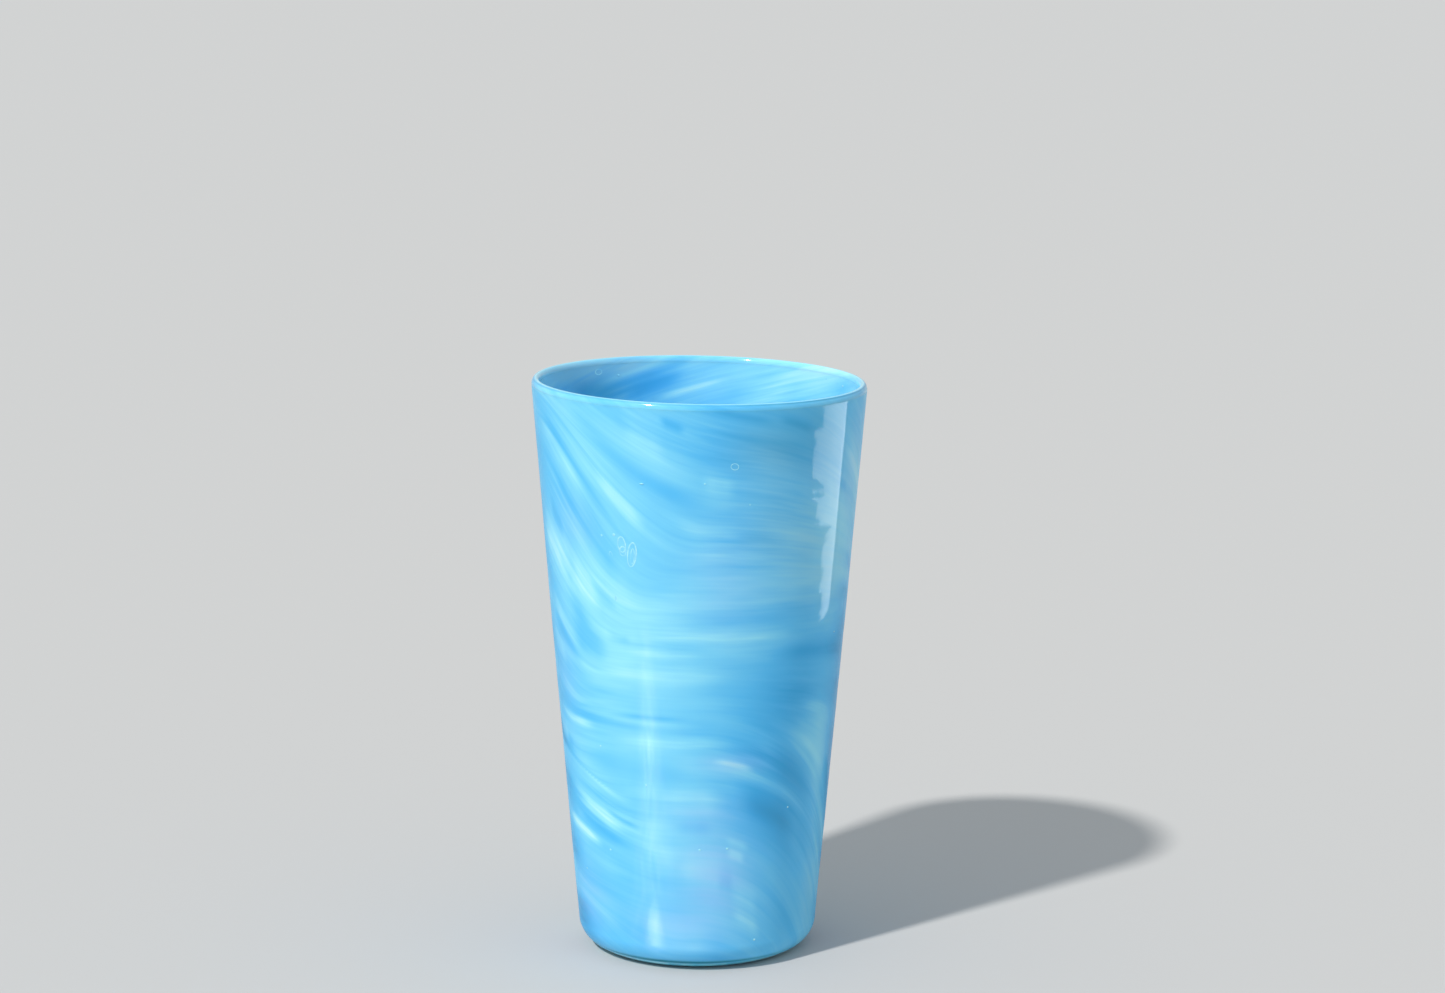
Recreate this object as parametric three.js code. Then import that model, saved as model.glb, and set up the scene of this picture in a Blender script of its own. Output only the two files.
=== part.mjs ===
// A hand-blown pint tumbler in swirled blue and white opal glass. Millimetres, +Z up,
// origin at the centre of the foot, on the surface that the glass stands on.
//
// The glass is one cup made of several gathers that lie in each other like nested cups:
// a lining, a colour layer and a casing in the wall, a lip that closes all three at the
// top, a foot that they stand on, and the button that the pontil rod left under it.
// Gathers are fused, so neighbours share one surface, facet for facet.
import * as THREE from "three";
import { mergeGeometries, mergeVertices } from "three/addons/utils/BufferGeometryUtils.js";

// Driving dimensions.
const HEIGHT = 152; // table to the top of the lip
const RIM_RADIUS = 44; // outside of the wall, carried on to the top
const BASE_RADIUS = 31; // outside of the wall, carried on to the table
const WALL_BULGE = 0.16; // how far the wall swells outwards at half height
const HEEL_RADIUS = 7.5; // round turn from the wall to the foot
const CASING_THICKNESS = 0.7;
const COLOUR_THICKNESS = 0.9;
const LINING_THICKNESS = 0.7;
const LIP_HEIGHT = 1.7;
const LIP_THICKNESS = 1.8;
const FOOT_TOP = 1.8; // how far up the heel the clear foot shows
const KICK_RADIUS = 21.5; // inner edge of the flat ring that the glass stands on
const KICK_HEIGHT = 3.2; // push-up at the centre of the underside
const FLOOR_DOME = 3.4; // rise of each layer's floor from its edge to its centre
const COLOUR_FLOOR = 1.4; // thickness of the colour layer under the lining
const LINING_FLOOR = 3.6; // thickness of the lining under the bowl
const BOWL_RADIUS = 11; // round turn from the bowl's floor to its wall
const BUTTON_RADIUS = 8; // of the pontil button where it joins the underside
const BUTTON_FACE_RADIUS = 6.8; // of the button's ground face
const BUTTON_FACE_HEIGHT = 1.4; // ground face above the table
const LIP_LEAN = -0.0152; // slope of the hand-sheared lip along X
const OUT_OF_ROUND = 0.0035; // share by which the mouth is wider along X than along Y

// Fineness of the facets.
const SEGMENTS = 48; // around the axis
const WALL_STEPS = 5;
const TURN_STEPS = 5; // along each round turn
const FLOOR_STEPS = 4; // from the centre of a floor to its edge

const WALL_TOP = HEIGHT - LIP_HEIGHT;

// Depths of the surfaces between the gathers, measured in from the outside of the wall.
const COLOUR_DEPTH = CASING_THICKNESS;
const LINING_DEPTH = COLOUR_DEPTH + COLOUR_THICKNESS;
const BOWL_DEPTH = LINING_DEPTH + LINING_THICKNESS;

const QUARTER_TURN = Math.PI / 2;

const point = (r, z) => new THREE.Vector2(r, z);

// Points made at equal steps of a share that runs from 0 to 1.
const trace = (steps, pointAt) =>
  Array.from({ length: steps + 1 }, (_, i) => pointAt(i / steps));

// Lines joined end to start, where each starts at the point that the last one ends at.
const joined = (...lines) => lines.flatMap((line, i) => (i ? line.slice(1) : line));

// A round turn about a centre. Angle 0 points straight down and a quarter turn outwards.
const turn = (centre, radius, from, to) =>
  trace(TURN_STEPS, (t) => {
    const angle = THREE.MathUtils.lerp(from, to, t);
    return point(centre.x + radius * Math.sin(angle), centre.y - radius * Math.cos(angle));
  });

// Outside radius of the wall at a height.
function wallRadius(z) {
  const u = z / HEIGHT;
  return THREE.MathUtils.lerp(BASE_RADIUS, RIM_RADIUS, u) + 4 * WALL_BULGE * u * (1 - u);
}

// The wall at a depth, from a height up to where the lip starts.
const wall = (depth, from) =>
  trace(WALL_STEPS, (t) => {
    const z = THREE.MathUtils.lerp(from, WALL_TOP, t);
    return point(wallRadius(z) - depth, z);
  });

// A domed floor from the axis to its edge, a height above the top of the foot.
const floor = (edgeRadius, height) =>
  trace(FLOOR_STEPS, (t) =>
    point(t * edgeRadius, FOOT_TOP + height + FLOOR_DOME * (1 - t * t) ** 2));

// A bowl: domed floor, round turn and wall, at a depth inside the glass.
function bowl(depth, floorHeight, turnRadius) {
  const turnTop = FOOT_TOP + floorHeight + turnRadius;
  const edgeRadius = wallRadius(turnTop) - depth - turnRadius;
  return joined(
    floor(edgeRadius, floorHeight),
    turn(point(edgeRadius, turnTop), turnRadius, 0, QUARTER_TURN),
    wall(depth, turnTop),
  );
}

// Every outer layer's heel turns about one centre, so a depth is a smaller radius.
const heelCentre = point(wallRadius(HEEL_RADIUS) - HEEL_RADIUS, HEEL_RADIUS);
const heelAngleAt = (depth, z) => Math.acos((HEEL_RADIUS - z) / (HEEL_RADIUS - depth));
const heel = (depth, from, to) => turn(heelCentre, HEEL_RADIUS - depth, from, to);

// The lines that the surfaces are revolved from. Each runs away from the axis.
const casingOutside = joined(
  heel(0, heelAngleAt(0, FOOT_TOP), QUARTER_TURN),
  wall(0, HEEL_RADIUS),
);
const colourWall = joined(
  heel(COLOUR_DEPTH, heelAngleAt(COLOUR_DEPTH, FOOT_TOP), QUARTER_TURN),
  wall(COLOUR_DEPTH, HEEL_RADIUS),
);
const colourFloor = floor(colourWall[0].x, 0);
const liningOutside = bowl(LINING_DEPTH, COLOUR_FLOOR, HEEL_RADIUS - COLOUR_DEPTH);
const bowlSurface = bowl(BOWL_DEPTH, COLOUR_FLOOR + LINING_FLOOR, BOWL_RADIUS);

// The underside's push-up dies out smoothly at the ring that the glass stands on.
const kickHeight = (r) => KICK_HEIGHT * (1 - (r / KICK_RADIUS) ** 2) ** 2;
const kick = (from, to, steps) =>
  trace(steps, (t) => {
    const r = THREE.MathUtils.lerp(from, to, t);
    return point(r, kickHeight(r));
  });
const overButton = kick(0, BUTTON_RADIUS, 2);
const roundButton = kick(BUTTON_RADIUS, KICK_RADIUS, FLOOR_STEPS);
const footHeel = heel(0, 0, heelAngleAt(0, FOOT_TOP));
const standingRing = [roundButton.at(-1), footHeel[0]];
const buttonFace = [
  point(0, BUTTON_FACE_HEIGHT),
  point(BUTTON_FACE_RADIUS, BUTTON_FACE_HEIGHT),
  overButton.at(-1),
];

// The rings on which the lip sits, and the one on which the casing stands.
const liningTop = [bowlSurface.at(-1), liningOutside.at(-1)];
const colourTop = [liningOutside.at(-1), colourWall.at(-1)];
const casingTop = [colourWall.at(-1), casingOutside.at(-1)];
const casingFoot = [colourWall[0], casingOutside[0]];

// The lip: a half-round top, joined to both faces of the wall by short flanks.
const lipRadius = LIP_THICKNESS / 2;
const lipCentre = point(wallRadius(HEIGHT) - lipRadius, HEIGHT - lipRadius);
const lipTop = [
  bowlSurface.at(-1),
  ...turn(lipCentre, lipRadius, 3 * QUARTER_TURN, QUARTER_TURN),
  casingOutside.at(-1),
];

// The mouth was sheared and opened by hand: it leans and is a little oval. Both grow with
// height, and leave the foot flat and round.
function shapeByHand(geometry) {
  const position = geometry.getAttribute("position");
  const place = new THREE.Vector3();
  for (let i = 0; i < position.count; i++) {
    place.fromBufferAttribute(position, i);
    const share = (place.z / HEIGHT) ** 3;
    place.z += LIP_LEAN * place.x * share;
    place.x *= 1 + (OUT_OF_ROUND / 2) * share;
    place.y *= 1 - (OUT_OF_ROUND / 2) * share;
    position.setXYZ(i, ...place);
  }
}

// A line revolved about Z. The faces look down and outwards, or the other way if turned over.
function sheet(line, turnedOver) {
  const geometry = new THREE.LatheGeometry(line, SEGMENTS);
  geometry.rotateX(QUARTER_TURN);
  geometry.deleteAttribute("normal");
  geometry.deleteAttribute("uv");
  if (turnedOver) geometry.index.array.reverse();
  return geometry;
}

// A solid between sheets: outer ones face as they are made, inner ones are turned over.
function gather(name, material, outer, inner) {
  const sheets = [
    ...outer.map((line) => sheet(line, false)),
    ...inner.map((line) => sheet(line, true)),
  ];
  const geometry = mergeVertices(mergeGeometries(sheets));
  shapeByHand(geometry);
  geometry.computeVertexNormals();
  const mesh = new THREE.Mesh(geometry, material);
  mesh.name = name;
  return mesh;
}

function glass(color, opacity, roughness) {
  const transparent = opacity < 1;
  return new THREE.MeshStandardMaterial({ color, opacity, transparent, roughness, metalness: 0 });
}

const clearGlass = glass(0xa9dcf2, 0.35, 0.04);
const opalGlass = glass(0x5fbdf0, 1, 0.08);
const lipGlass = glass(0x3f9fe0, 0.8, 0.04);
const footGlass = glass(0x3aa6c4, 0.6, 0.05);
const groundGlass = glass(0xc4dfe8, 0.9, 0.45);

const tumbler = new THREE.Group();
tumbler.name = "tumbler";
tumbler.add(
  gather("inner_lining", clearGlass, [liningOutside], [liningTop, bowlSurface]),
  gather("colour_layer", opalGlass, [colourFloor, colourWall], [colourTop, liningOutside]),
  gather("outer_casing", clearGlass, [casingFoot, casingOutside], [casingTop, colourWall]),
  gather("lip", lipGlass, [liningTop, colourTop, casingTop], [lipTop]),
  gather("foot", footGlass,
    [overButton, roundButton, standingRing, footHeel], [colourFloor, casingFoot]),
  gather("pontil_button", groundGlass, [buttonFace], [overButton]),
);

export default tumbler;
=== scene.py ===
"""A hand-blown pint tumbler in swirled blue and white opal glass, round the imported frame.

Metres, +Z up. An azimuth of 0 is the side that faces the viewer, at -Y, and azimuths grow
towards +X. Flow is told in millimetres and degrees, as a glass blower would measure it.
"""
import math
import random

import bmesh
import bpy
import numpy as np
from mathutils import Matrix, Vector, noise


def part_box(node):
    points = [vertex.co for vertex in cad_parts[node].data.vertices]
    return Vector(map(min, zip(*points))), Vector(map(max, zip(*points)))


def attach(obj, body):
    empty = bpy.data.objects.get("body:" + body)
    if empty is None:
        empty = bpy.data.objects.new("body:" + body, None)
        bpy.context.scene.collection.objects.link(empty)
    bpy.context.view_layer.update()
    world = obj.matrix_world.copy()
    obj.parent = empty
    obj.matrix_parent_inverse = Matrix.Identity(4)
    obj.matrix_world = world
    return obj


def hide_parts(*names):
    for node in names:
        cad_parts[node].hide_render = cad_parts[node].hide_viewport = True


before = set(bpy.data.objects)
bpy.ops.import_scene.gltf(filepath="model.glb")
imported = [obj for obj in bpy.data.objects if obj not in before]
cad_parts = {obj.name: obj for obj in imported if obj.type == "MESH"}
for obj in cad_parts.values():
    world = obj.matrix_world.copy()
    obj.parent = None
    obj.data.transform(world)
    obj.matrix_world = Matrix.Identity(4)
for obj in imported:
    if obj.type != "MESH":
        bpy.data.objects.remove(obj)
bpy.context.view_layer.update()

MM = 0.001

# Shape that the frame's boxes don't tell by themselves. The CAD part uses the same values.
BASE_RADIUS = 31 * MM  # outside of the wall, carried on to the table
WALL_BULGE = 0.16 * MM
WALL_THICKNESS = 2.3 * MM
HEEL_RADIUS = 7.5 * MM
BOWL_RADIUS = 11 * MM
FLOOR_DOME = 3.4 * MM
FLOOR_THICKNESS = 5.0 * MM  # the bowl's floor above the top of the foot
LIP_HEIGHT = 1.7 * MM
LIP_THICKNESS = 1.8 * MM
LIP_LEAN = -0.0152
OUT_OF_ROUND = 0.0035
KICK_RADIUS = 21.5 * MM
BUTTON_FACE_RADIUS = 6.8 * MM

# What only this script has.
RIPPLE = 0.09 * MM
JOINT_GAP = 0.004 * MM  # between fused pieces, so that no two faces lie in one place
DOME_INSET = 1.17 * MM  # from the heel's face to the edge of the dome where foot and wall meet
ON_AXIS = 1e-7  # a radius below this is the axis itself

# Sizes from the frame.
lip_low, lip_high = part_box("lip")
casing_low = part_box("outer_casing")[0]
button_low, button_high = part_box("pontil_button")
RIM_RADIUS = (lip_high.x - lip_low.x + lip_high.y - lip_low.y) / 4
LIP_RADIUS = LIP_THICKNESS / 2
HEIGHT = lip_high.z + LIP_LEAN * (RIM_RADIUS - LIP_RADIUS)
WALL_TOP = HEIGHT - LIP_HEIGHT
FOOT_TOP = casing_low.z
BUTTON_FACE = button_low.z
BUTTON_RADIUS = (button_high.x - button_low.x) / 2
KICK_HEIGHT = button_high.z


# ---------------------------------------------------------------- shape

def wall_radius(z):
    """Outside radius of the wall at a height."""
    u = z / HEIGHT
    return BASE_RADIUS + (RIM_RADIUS - BASE_RADIUS) * u + 4 * WALL_BULGE * u * (1 - u)


def trace(steps, point_at):
    """Points at equal steps of a share that runs from 0 to 1."""
    return [point_at(i / steps) for i in range(steps + 1)]


def turn(centre, radius, start, end, steps):
    """A round turn. Angle 0 points straight down and 90 degrees outwards."""
    def point_at(t):
        angle = math.radians(start + (end - start) * t)
        return centre[0] + radius * math.sin(angle), centre[1] - radius * math.cos(angle)
    return trace(steps, point_at)


def wall(depth, bottom, top, steps):
    """The wall at a depth, from one height to another."""
    def point_at(t):
        z = bottom + (top - bottom) * t
        return wall_radius(z) - depth, z
    return trace(steps, point_at)


def floor(edge_radius, height, steps):
    """A domed floor from the axis to its edge."""
    return trace(steps, lambda t: (t * edge_radius, height + FLOOR_DOME * (1 - t * t) ** 2))


def kick_height(r):
    """The push-up under the foot, which dies out at the ring that the glass stands on."""
    return KICK_HEIGHT * (1 - (r / KICK_RADIUS) ** 2) ** 2


def heel_angle(z):
    """Where on the heel a height lies, in degrees."""
    return math.degrees(math.acos(1 - z / HEEL_RADIUS))


def shape_by_hand(point):
    """The lean and the slight oval of the hand-sheared mouth, which grow with height."""
    share = (point.z / HEIGHT) ** 3
    return Vector((
        point.x * (1 + OUT_OF_ROUND / 2 * share),
        point.y * (1 - OUT_OF_ROUND / 2 * share),
        point.z + LIP_LEAN * point.x * share,
    ))


heel_centre = (wall_radius(HEEL_RADIUS) - HEEL_RADIUS, HEEL_RADIUS)


def even_angles(count):
    """Azimuths all the way round, in degrees, starting at the back."""
    return [-180 + 360 * i / count for i in range(count)]


def front_angles():
    """Azimuths one degree apart on the side towards the viewer and three at the back."""
    back_left = [-180 + 3 * i for i in range(28)]
    front = [-96 + i for i in range(192)]
    back_right = [96 + 3 * i for i in range(28)]
    return back_left + front + back_right


def piece_from(mesh, name):
    """A new object with a smooth mesh, whose real corners stay sharp."""
    for face in mesh.faces:
        face.smooth = True
    data = bpy.data.meshes.new(name)
    mesh.to_mesh(data)
    mesh.free()
    data.set_sharp_from_angle(angle=math.radians(40))
    made = bpy.data.objects.new(name, data)
    bpy.context.scene.collection.objects.link(made)
    return made


def revolve(name, outline, angles, closed=False):
    """A closed body of revolution. The outline starts and ends on the axis, or is a loop."""
    mesh = bmesh.new()
    turns = [math.radians(angle) for angle in angles]
    rings = []
    for r, z in outline:
        if r < ON_AXIS:
            rings.append([mesh.verts.new((0, 0, z))])
        else:
            rings.append([mesh.verts.new((r * math.sin(a), -r * math.cos(a), z)) for a in turns])
    for low, high in zip(rings, rings[1:] + (rings[:1] if closed else [])):
        for i in range(len(turns)):
            j = (i + 1) % len(turns)
            if len(low) == 1:
                mesh.faces.new((low[0], high[j], high[i]))
            elif len(high) == 1:
                mesh.faces.new((low[i], low[j], high[0]))
            else:
                mesh.faces.new((low[i], low[j], high[j], high[i]))
    bmesh.ops.recalc_face_normals(mesh, faces=mesh.faces)
    return piece_from(mesh, name)


def finish_piece(piece, slot, *nodes):
    """Gives the piece its hand-made lean, and its place in the frame."""
    for vertex in piece.data.vertices:
        vertex.co = shape_by_hand(vertex.co)
    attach(piece, "root")
    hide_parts(*nodes)


# ---------------------------------------------------------------- how the colour flows

# The colour was wound round the gather, so it climbs steadily towards the left all the way
# round, and it was dragged into a fold on the front. Each row is a flow line: its height at
# the front, how far it climbs to the left, about which azimuth, over how many degrees to
# each side of that, and how far it falls at 60 degrees to the right.
FLOW_LINES = [
    (0, 14, -38, 32, 25),
    (20, 7, -48, 45, 30),
    (33, 11, -48, 38, 29),
    (46, 9, -50, 25, 22),
    (53, 4, -66, 18, 21),
    (60, 3, -75, 14, 20),
    (65, 6, -76, 15, 21),
    (70, 9, -73, 20, 20),
    (74, 11, -70, 24, 9),
    (82, 17, -65, 25, 4),
    (88, 21, -61, 28, 2.5),
    (95, 30, -56, 32, 1.5),
    (101, 33, -52, 33, 2.5),
    (106, 34, -45, 31, 4),
    (115, 34, -36, 36, 6),
    (126, 27, -35, 45, 9),
    (150, 24, -32, 50, 14),
]
SIDE = 78  # azimuth where the fold ends, to the left and to the right
FALL_AZIMUTH = 60  # where the last number of a flow line holds
HELIX_SLOPE = 0.35  # millimetres to a degree
INSIDE_SLOPE = 0.2  # the same for the bowl
BACK_DROP = 20  # how far every line has fallen once the fold's falls have evened out
EVENING_OUT = 45  # degrees beyond the right side over which they even out
BOWL_LAYER = 40  # keeps the bowl's noise apart from that of the outside, which has layer 0
DICE_SEED = 7
CLOUD_EDGE = 2.6  # times a cloud's reach to the side, beyond which it is left out
STREAK_TAPER = 0.35  # share of a streak's length over which each end fades out
SEAM_OVERLAP = 20  # degrees to each side of a seam where both counts of the azimuth hold
SEAM_BLEND = 15  # degrees to each side of a seam where one count fades into the other

# Streaks in the colour on the outside: height at the front of the flow line that they
# follow, first and last azimuth, half width, and strength, which is below 0 for a dark one.
STREAKS = [
    (114.5, -40, -18, 1.2, 0.6), (118, -10, 20, 2.5, 0.35), (113, -5, 30, 1.5, 0.3),
    (136, -28, -10, 3, 0.35), (131, 0, 14, 2.5, 0.4), (152, -18, 5, 0.5, 0.5),
    (108.5, -75, -42, 1.5, 0.4), (100, -62, -18, 2.2, 0.35), (94.2, -55, -38, 2, 0.5),
    (90.5, -82, -50, 3.5, 0.6), (89, -50, -28, 1, 0.35), (91, -25, 45, 1.3, 0.3),
    (83, -76, -50, 1.3, 0.6), (81, -50, 20, 1.8, 0.35), (76, -80, -62, 2, 0.55),
    (86.5, -30, 5, 0.9, 0.3), (67.5, -42, 5, 0.9, 0.3), (64.8, -78, -45, 1.1, 0.75),
    (62.5, -45, 25, 2.2, 0.45), (57, -80, -68, 2.5, 0.5), (58.3, 5, 25, 0.7, 0.7),
    (56.5, 0, 60, 1.5, 0.6), (47, -20, 14, 3, 0.55), (70.7, 28, 75, 1.5, 0.5),
    (72, 35, 80, 3, 0.3), (76, 40, 80, 1.5, 0.35), (28, -80, -45, 1, 1.3),
    (24, -75, -30, 4, 0.2), (35.6, -64, -32, 2.4, 0.45), (46.5, -60, -35, 1, 0.35),
    (41.5, -50, -25, 0.6, 0.3), (32, -28, -5, 2, 0.25), (29, -10, 14, 4, 0.35),
    (37.5, 11, 24, 0.9, 0.5), (34.5, 12, 22, 1.3, 0.6), (18, 15, 32, 2, 0.5),
    (24, 15, 30, 3, 0.3), (7, -80, -35, 5, 0.35), (8, -25, 10, 5, 0.3),
    (50, 62, 85, 8, 0.3), (152, 60, 88, 6, 0.5),
    # The dark rows at 149.5 and 151 are painted shade just under the lip's crest.
    (126, -52, 10, 3.2, -0.5), (149.5, 0, 28, 0.9, -0.35), (151, 26, 44, 1.2, -0.45),
    (142.5, -14, -4, 1.2, -0.5), (128, -80, -52, 0.8, -0.35), (110.5, -72, -30, 1.2, -0.4),
    (103, -50, -28, 3, -0.35), (97, -68, -57, 1.6, -0.5), (91.8, -64, -53, 0.9, -0.35),
    (96.3, -46, -30, 0.8, -0.4), (86, -58, -35, 3.5, -0.35), (89.5, -38, -25, 1.3, -0.35),
    (80, -75, -50, 1.4, -0.5), (96, -20, 45, 2.2, -0.3), (87, 25, 85, 2.2, -0.55),
    (66.5, -70, -15, 1, -0.3), (69.3, -40, 0, 0.7, -0.3), (55, -58, 0, 3, -0.4),
    (31.5, -66, -28, 1.3, -0.5), (38.5, -45, -24, 0.8, -0.5), (64, 28, 60, 4.5, -0.5),
    (50, 14, 50, 5, -0.45), (40, -12, 8, 2, -0.3), (26, 8, 17, 3, -0.3),
    (141, 58, 66, 2, -0.35),
    # These rows darken both sides with dark streaks: painted shade, where the glass turns away
    # from the light.
    (101, -125, -58, 5, -0.8), (93, -130, -62, 3, -0.6), (86, -125, -60, 4, -0.7),
    (75, -120, -60, 4, -0.7), (66, -118, -62, 3, -0.4), (54, -125, -58, 5, -1.0),
    (35, -120, -60, 5, -1.0), (21, -125, -58, 5, -1.1), (-5, -120, -52, 7, -1.2),
    (118, -125, -66, 4, -0.5),
    (116, 60, 120, 4, -0.6), (103, 54, 122, 5, -0.8), (90, 56, 128, 6, -1.0),
    (79, 56, 118, 5, -0.9), (72, 58, 125, 3, -1.1), (130, 62, 120, 4, -0.7),
    (60, 62, 120, 4, -0.8), (46, 62, 118, 4, -0.6), (30, 60, 120, 5, -0.6),
]

# The same for the bowl, where the azimuth goes from 0 to 360 and the flow line's height is
# told at the back.
BOWL_STREAKS = [
    (140, 98, 168, 5, 0.7), (143.6, 168, 198, 1, 0.7), (147.8, 183, 212, 2.6, -0.5),
    (153.2, 186, 226, 1, 0.6), (156.5, 203, 238, 3.2, -0.6), (161.5, 228, 258, 0.6, 0.6),
    (159, 226, 256, 0.4, 0.5), (150.5, 172, 200, 1.4, 0.35), (136, 140, 175, 2, 0.4),
]


# Clouds on the outside: azimuth, height, reach to the sides and up and down, and strength.
# Partly the glass's own uneven tone and partly painted light and shade: lighter on the left, where
# the key light falls, and darker towards the right and at both sides.
TONE_AND_PAINTED_LIGHT_CLOUDS = [
    (38, 76, 24, 22, -0.20), (42, 38, 26, 22, -0.20), (32, 142, 18, 12, -0.20),
    (12, 142, 12, 10, -0.10), (62, 114, 16, 18, 0.14), (66, 62, 12, 14, 0.06),
    (-66, 12, 24, 14, -0.16), (32, 8, 28, 12, -0.12), (-74, 58, 14, 22, -0.10),
    (-22, 88, 24, 14, 0.10), (-50, 104, 20, 16, 0.10), (0, 22, 18, 12, 0.05),
    (-45, 138, 20, 10, 0.04), (20, 122, 14, 10, -0.05), (-10, 112, 14, 8, 0.04),
    (-32, 85, 26, 55, 0.07), (-35, 132, 35, 9, 0.05), (-22, 147, 16, 8, 0.07),
    (-36, 85, 24, 7, 0.05), (-30, 55, 26, 8, 0.07), (-35, 8, 36, 8, -0.13),
    (-100, 75, 26, 120, -0.10), (100, 75, 26, 120, -0.10),
]
LAVENDER_CLOUDS = [
    (8, 27, 16, 11, 0.8), (-8, 12, 22, 7, 0.5), (-52, 118, 12, 8, 0.4), (14, 57, 14, 3, 0.5),
    (-66, 78, 10, 12, 0.3), (10, 106, 14, 14, 0.35), (-60, 16, 16, 10, 0.4), (2, 44, 16, 5, 0.4),
    (68, 130, 8, 14, 0.4),
]
# Teal that is partly the glass's own colour and partly painted shade, darker towards the right.
TEAL_AND_PAINTED_SHADE_CLOUDS = [
    (34, 144, 20, 9, 0.22), (30, 120, 16, 16, 0.08), (60, 12, 22, 12, 0.12),
]
# Painted warm light, as of light that has come through the glass, mostly on the right.
PAINTED_WARM_LIGHT_CLOUDS = [
    (40, 110, 22, 12, 0.65), (60, 104, 12, 9, 0.5), (26, 128, 12, 12, 0.3),
    (50, 134, 12, 12, 0.35), (46, 46, 16, 22, 0.15), (22, 138, 14, 8, 0.35),
    (34, 120, 18, 9, 0.25), (66, 18, 8, 14, 0.35), (24, 13, 12, 8, 0.25),
]
COMBED_CLOUDS = [
    (-52, 118, 30, 26, 1.0), (-60, 74, 22, 14, 0.8), (-48, 42, 20, 10, 0.9),
    (24, 116, 26, 18, 0.6), (42, 66, 18, 12, 0.5), (20, 56, 16, 7, 0.6),
    (-10, 92, 36, 8, 0.5), (64, 40, 14, 20, 0.4), (180, 75, 52, 120, 0.75),
    (130, 75, 30, 120, 0.5), (-130, 75, 30, 120, 0.5), (0, 142, 30, 8, 0.5),
    (96, 75, 14, 120, 0.6), (-98, 75, 14, 120, 0.6),
]
# Partly the glass's own tone and partly painted light, lighter where the key light falls into the
# bowl.
BOWL_TONE_AND_PAINTED_LIGHT_CLOUDS = [
    (130, 148, 34, 14, 0.13), (200, 146, 18, 5, -0.04), (262, 148, 12, 6, 0.3),
    (222, 149, 14, 3, 0.15),
]
# Painted shade on the inside at the back left, where the key light doesn't reach.
BOWL_PAINTED_SHADE_CLOUDS = [(222, 143, 16, 4, 0.40), (250, 138, 16, 8, 0.25)]
# Painted warm light on the inside at the back left.
BOWL_PAINTED_WARM_LIGHT_CLOUDS = [(236, 149.5, 22, 3.5, 1.5), (210, 150, 10, 2, 0.9)]
BOWL_COMBED_CLOUDS = [(180, 140, 80, 40, 0.7), (0, 90, 80, 80, 0.6), (180, 60, 80, 50, 0.5)]
PAINTED_FOOT_SHADE_LINE = (-8, 2.2, 46, 0.5, 1.4)  # painted shade: a dark line just above the foot's edge, where its clear glass shows shade


def smooth_step(t):
    """0 below 0, 1 above 1, and a smooth rise between them."""
    t = min(1, max(0, t))
    return t * t * (3 - 2 * t)


levels = np.arange(-120, 300, 0.5)
flow_table = np.array(FLOW_LINES, float).T
rises, middles, half_widths, falls = [np.interp(levels, flow_table[0], c) for c in flow_table[1:]]


def outside_levels(azimuth, heights):
    """The flow lines that pass through these heights at an azimuth, in millimetres."""
    share = np.clip((middles + half_widths - azimuth) / (2 * half_widths), 0, 1)
    climb = rises * share * share * (3 - 2 * share)
    drop = falls * (min(SIDE, max(0, azimuth)) / FALL_AZIMUTH) ** 2
    even = smooth_step((azimuth - SIDE) / EVENING_OUT)
    drop = drop * (1 - even) + BACK_DROP * even
    line = levels + climb - drop
    line = line - HELIX_SLOPE * (max(0, azimuth - SIDE) - max(0, -SIDE - azimuth))
    return np.interp(heights, np.maximum.accumulate(line), levels)


def bowl_levels(azimuth, heights):
    """The same for the bowl."""
    return heights + INSIDE_SLOPE * (azimuth - 180)


def back_streaks(dice, first, last, lowest, highest, count):
    """Streaks of the same kind for the sides that the list above leaves out."""
    made = []
    for _ in range(count):
        middle = dice.uniform(first, last)
        reach = dice.uniform(14, 42)
        level = dice.uniform(lowest, highest)
        half_width = dice.uniform(0.7, 3.4)
        strength = dice.choice([0.65, 0.5, 0.35, -0.35, -0.5])
        start, end = max(first, middle - reach), min(last, middle + reach)
        made.append((level, start, end, half_width, strength))
    return made


def streak_sum(streaks, azimuth, flow):
    """How light or dark the streaks make the points of one column."""
    total = np.zeros(len(flow))
    for height, first, last, half_width, strength in streaks:
        if first < azimuth < last:
            to_end = min(azimuth - first, last - azimuth)
            ends = smooth_step(to_end / (STREAK_TAPER * (last - first)))
            total += strength * ends * np.exp(-((flow - height) / half_width) ** 2)
    return total


def cloud_sum(clouds, azimuth, heights):
    """How much the clouds tint the points of one column."""
    total = np.zeros(len(heights))
    for middle, height, aside, above, strength in clouds:
        across = ((azimuth - middle + 180) % 360 - 180) / aside
        if abs(across) < CLOUD_EDGE:
            total += strength * math.exp(-across ** 2) * np.exp(-((heights - height) / above) ** 2)
    return total


def path_heights(outline):
    """Heights in millimetres from the top down, which go on along the glass where it is level."""
    least_share = 0.9  # of the way along the glass, where the height hardly changes
    heights = [outline[0][1]]
    for above, here in zip(outline, outline[1:]):
        length = math.dist(above, here)
        heights.append(heights[-1] - max(abs(here[1] - above[1]), least_share * length))
    return np.array(heights) / MM


def seen_from_both_sides(azimuth, seam):
    """An azimuth as counted before and after a seam, and the share of the second count."""
    beyond = (azimuth - seam + 180) % 360 - 180
    before = seam + beyond - (360 if beyond > SEAM_OVERLAP else 0)
    after = seam + beyond - (360 if beyond >= -SEAM_OVERLAP else 0)
    return before, after, smooth_step((beyond + SEAM_BLEND) / (2 * SEAM_BLEND))


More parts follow.
